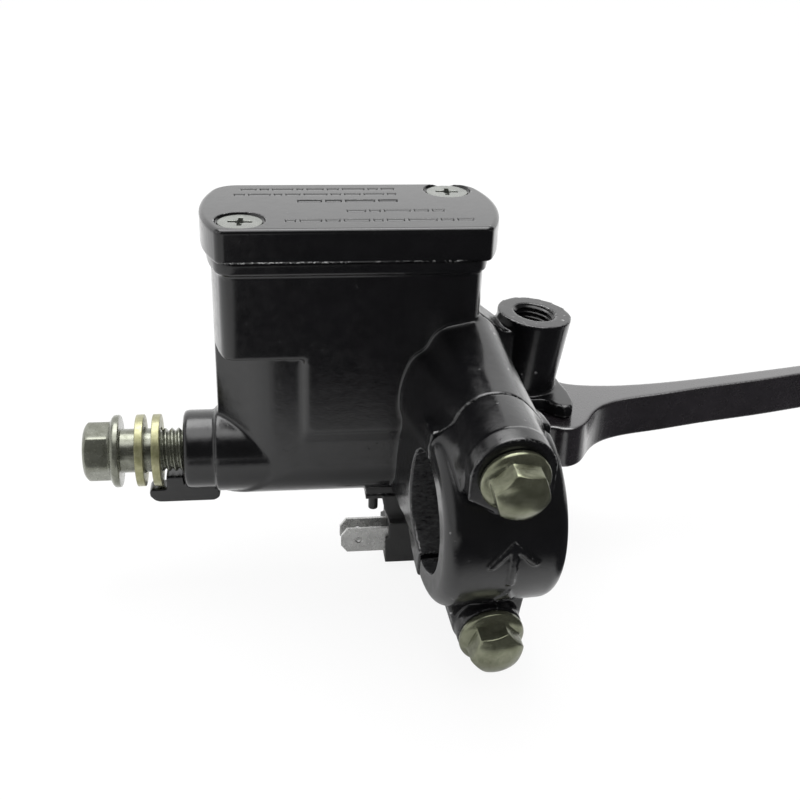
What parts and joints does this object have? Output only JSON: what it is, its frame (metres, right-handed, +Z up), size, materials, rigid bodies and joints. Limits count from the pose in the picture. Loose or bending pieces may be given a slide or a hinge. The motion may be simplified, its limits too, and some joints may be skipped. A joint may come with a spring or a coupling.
{
  "type": "brake master cylinder",
  "caption": "Handlebar brake master cylinder with square reservoir, screwed cover, split bar clamp, mirror boss, hand lever, brake light switch and banjo bolt.",
  "frame": {"origin": "on the handlebar axis at mid-width of the clamp", "axes": "+X along the handlebar towards the lever tip, +Z up out of the reservoir cover, -Y towards the rider"},
  "size_m": [0.2502, 0.0951, 0.0865],
  "materials": {
    "black_paint": "gloss black paint over die-cast aluminium",
    "black_paint_cover": "gloss black paint over die-cast aluminium",
    "lever_paint": "satin black paint over cast aluminium",
    "diaphragm_rubber": "moulded black rubber",
    "cup_rubber": "smooth black rubber",
    "plate_plastic": "dark moulded nylon",
    "bright_zinc": "bright zinc plate",
    "olive_zinc": "greenish zinc chromate plate",
    "grey_zinc": "grey zinc plate",
    "washer_zinc": "yellow zinc plate",
    "bush_brass": "turned brass",
    "piston_aluminium": "hard anodised",
    "spring_steel": "plain spring steel",
    "switch_plastic": "matt black moulding",
    "plunger_plastic": "natural acetal",
    "terminal_tin": "tin plated blades"
  },
  "bodies": {
    "body": {"cylinder_body": "black_paint", "reservoir_cover": "black_paint_cover", "cover_diaphragm": "diaphragm_rubber", "diaphragm_plate": "plate_plastic", "cover_screws": "bright_zinc", "clamp_cap": "black_paint", "clamp_bolts": "olive_zinc", "banjo_bolt": "grey_zinc", "banjo_washers": "washer_zinc", "pivot_bolt": "bright_zinc", "pivot_nut": "bright_zinc", "return_spring": "spring_steel", "piston_stop_washer": "spring_steel", "snap_ring": "spring_steel", "dust_boot": "cup_rubber", "port_shield": "spring_steel", "switch_housing": "switch_plastic", "switch_terminals": "terminal_tin", "switch_spring": "spring_steel", "switch_screw": "bright_zinc"},
    "lever": {"brake_lever": "lever_paint", "pivot_bush": "bush_brass"},
    "piston_group": {"piston": "piston_aluminium", "primary_cup": "cup_rubber", "secondary_cup": "cup_rubber", "spring_seat": "bush_brass"},
    "plunger": {"switch_plunger": "plunger_plastic"}
  },
  "joints": [
    {"name": "lever_pivot", "type": "hinge", "parent": "body", "child": "lever", "pos_m": [0.02383, 0.05895, -0.0035], "axis": [0, 0, -1], "range_deg": [0, 14]},
    {"name": "piston_slide", "type": "slide", "parent": "body", "child": "piston_group", "axis": [-0.9962, 0.0872, 0], "range_m": [0, 0.0065], "deforming": ["return_spring"]},
    {"name": "plunger_slide", "type": "slide", "parent": "body", "child": "plunger", "axis": [-0.9962, 0.0872, 0], "range_m": [0, 0.0043], "deforming": ["switch_spring"]}
  ],
  "couplings": [
    {"joint": "piston_slide", "follows": "lever_pivot", "m_per_rad": 0.0265},
    {"joint": "plunger_slide", "follows": "lever_pivot", "m_per_rad": 0.0174}
  ]
}
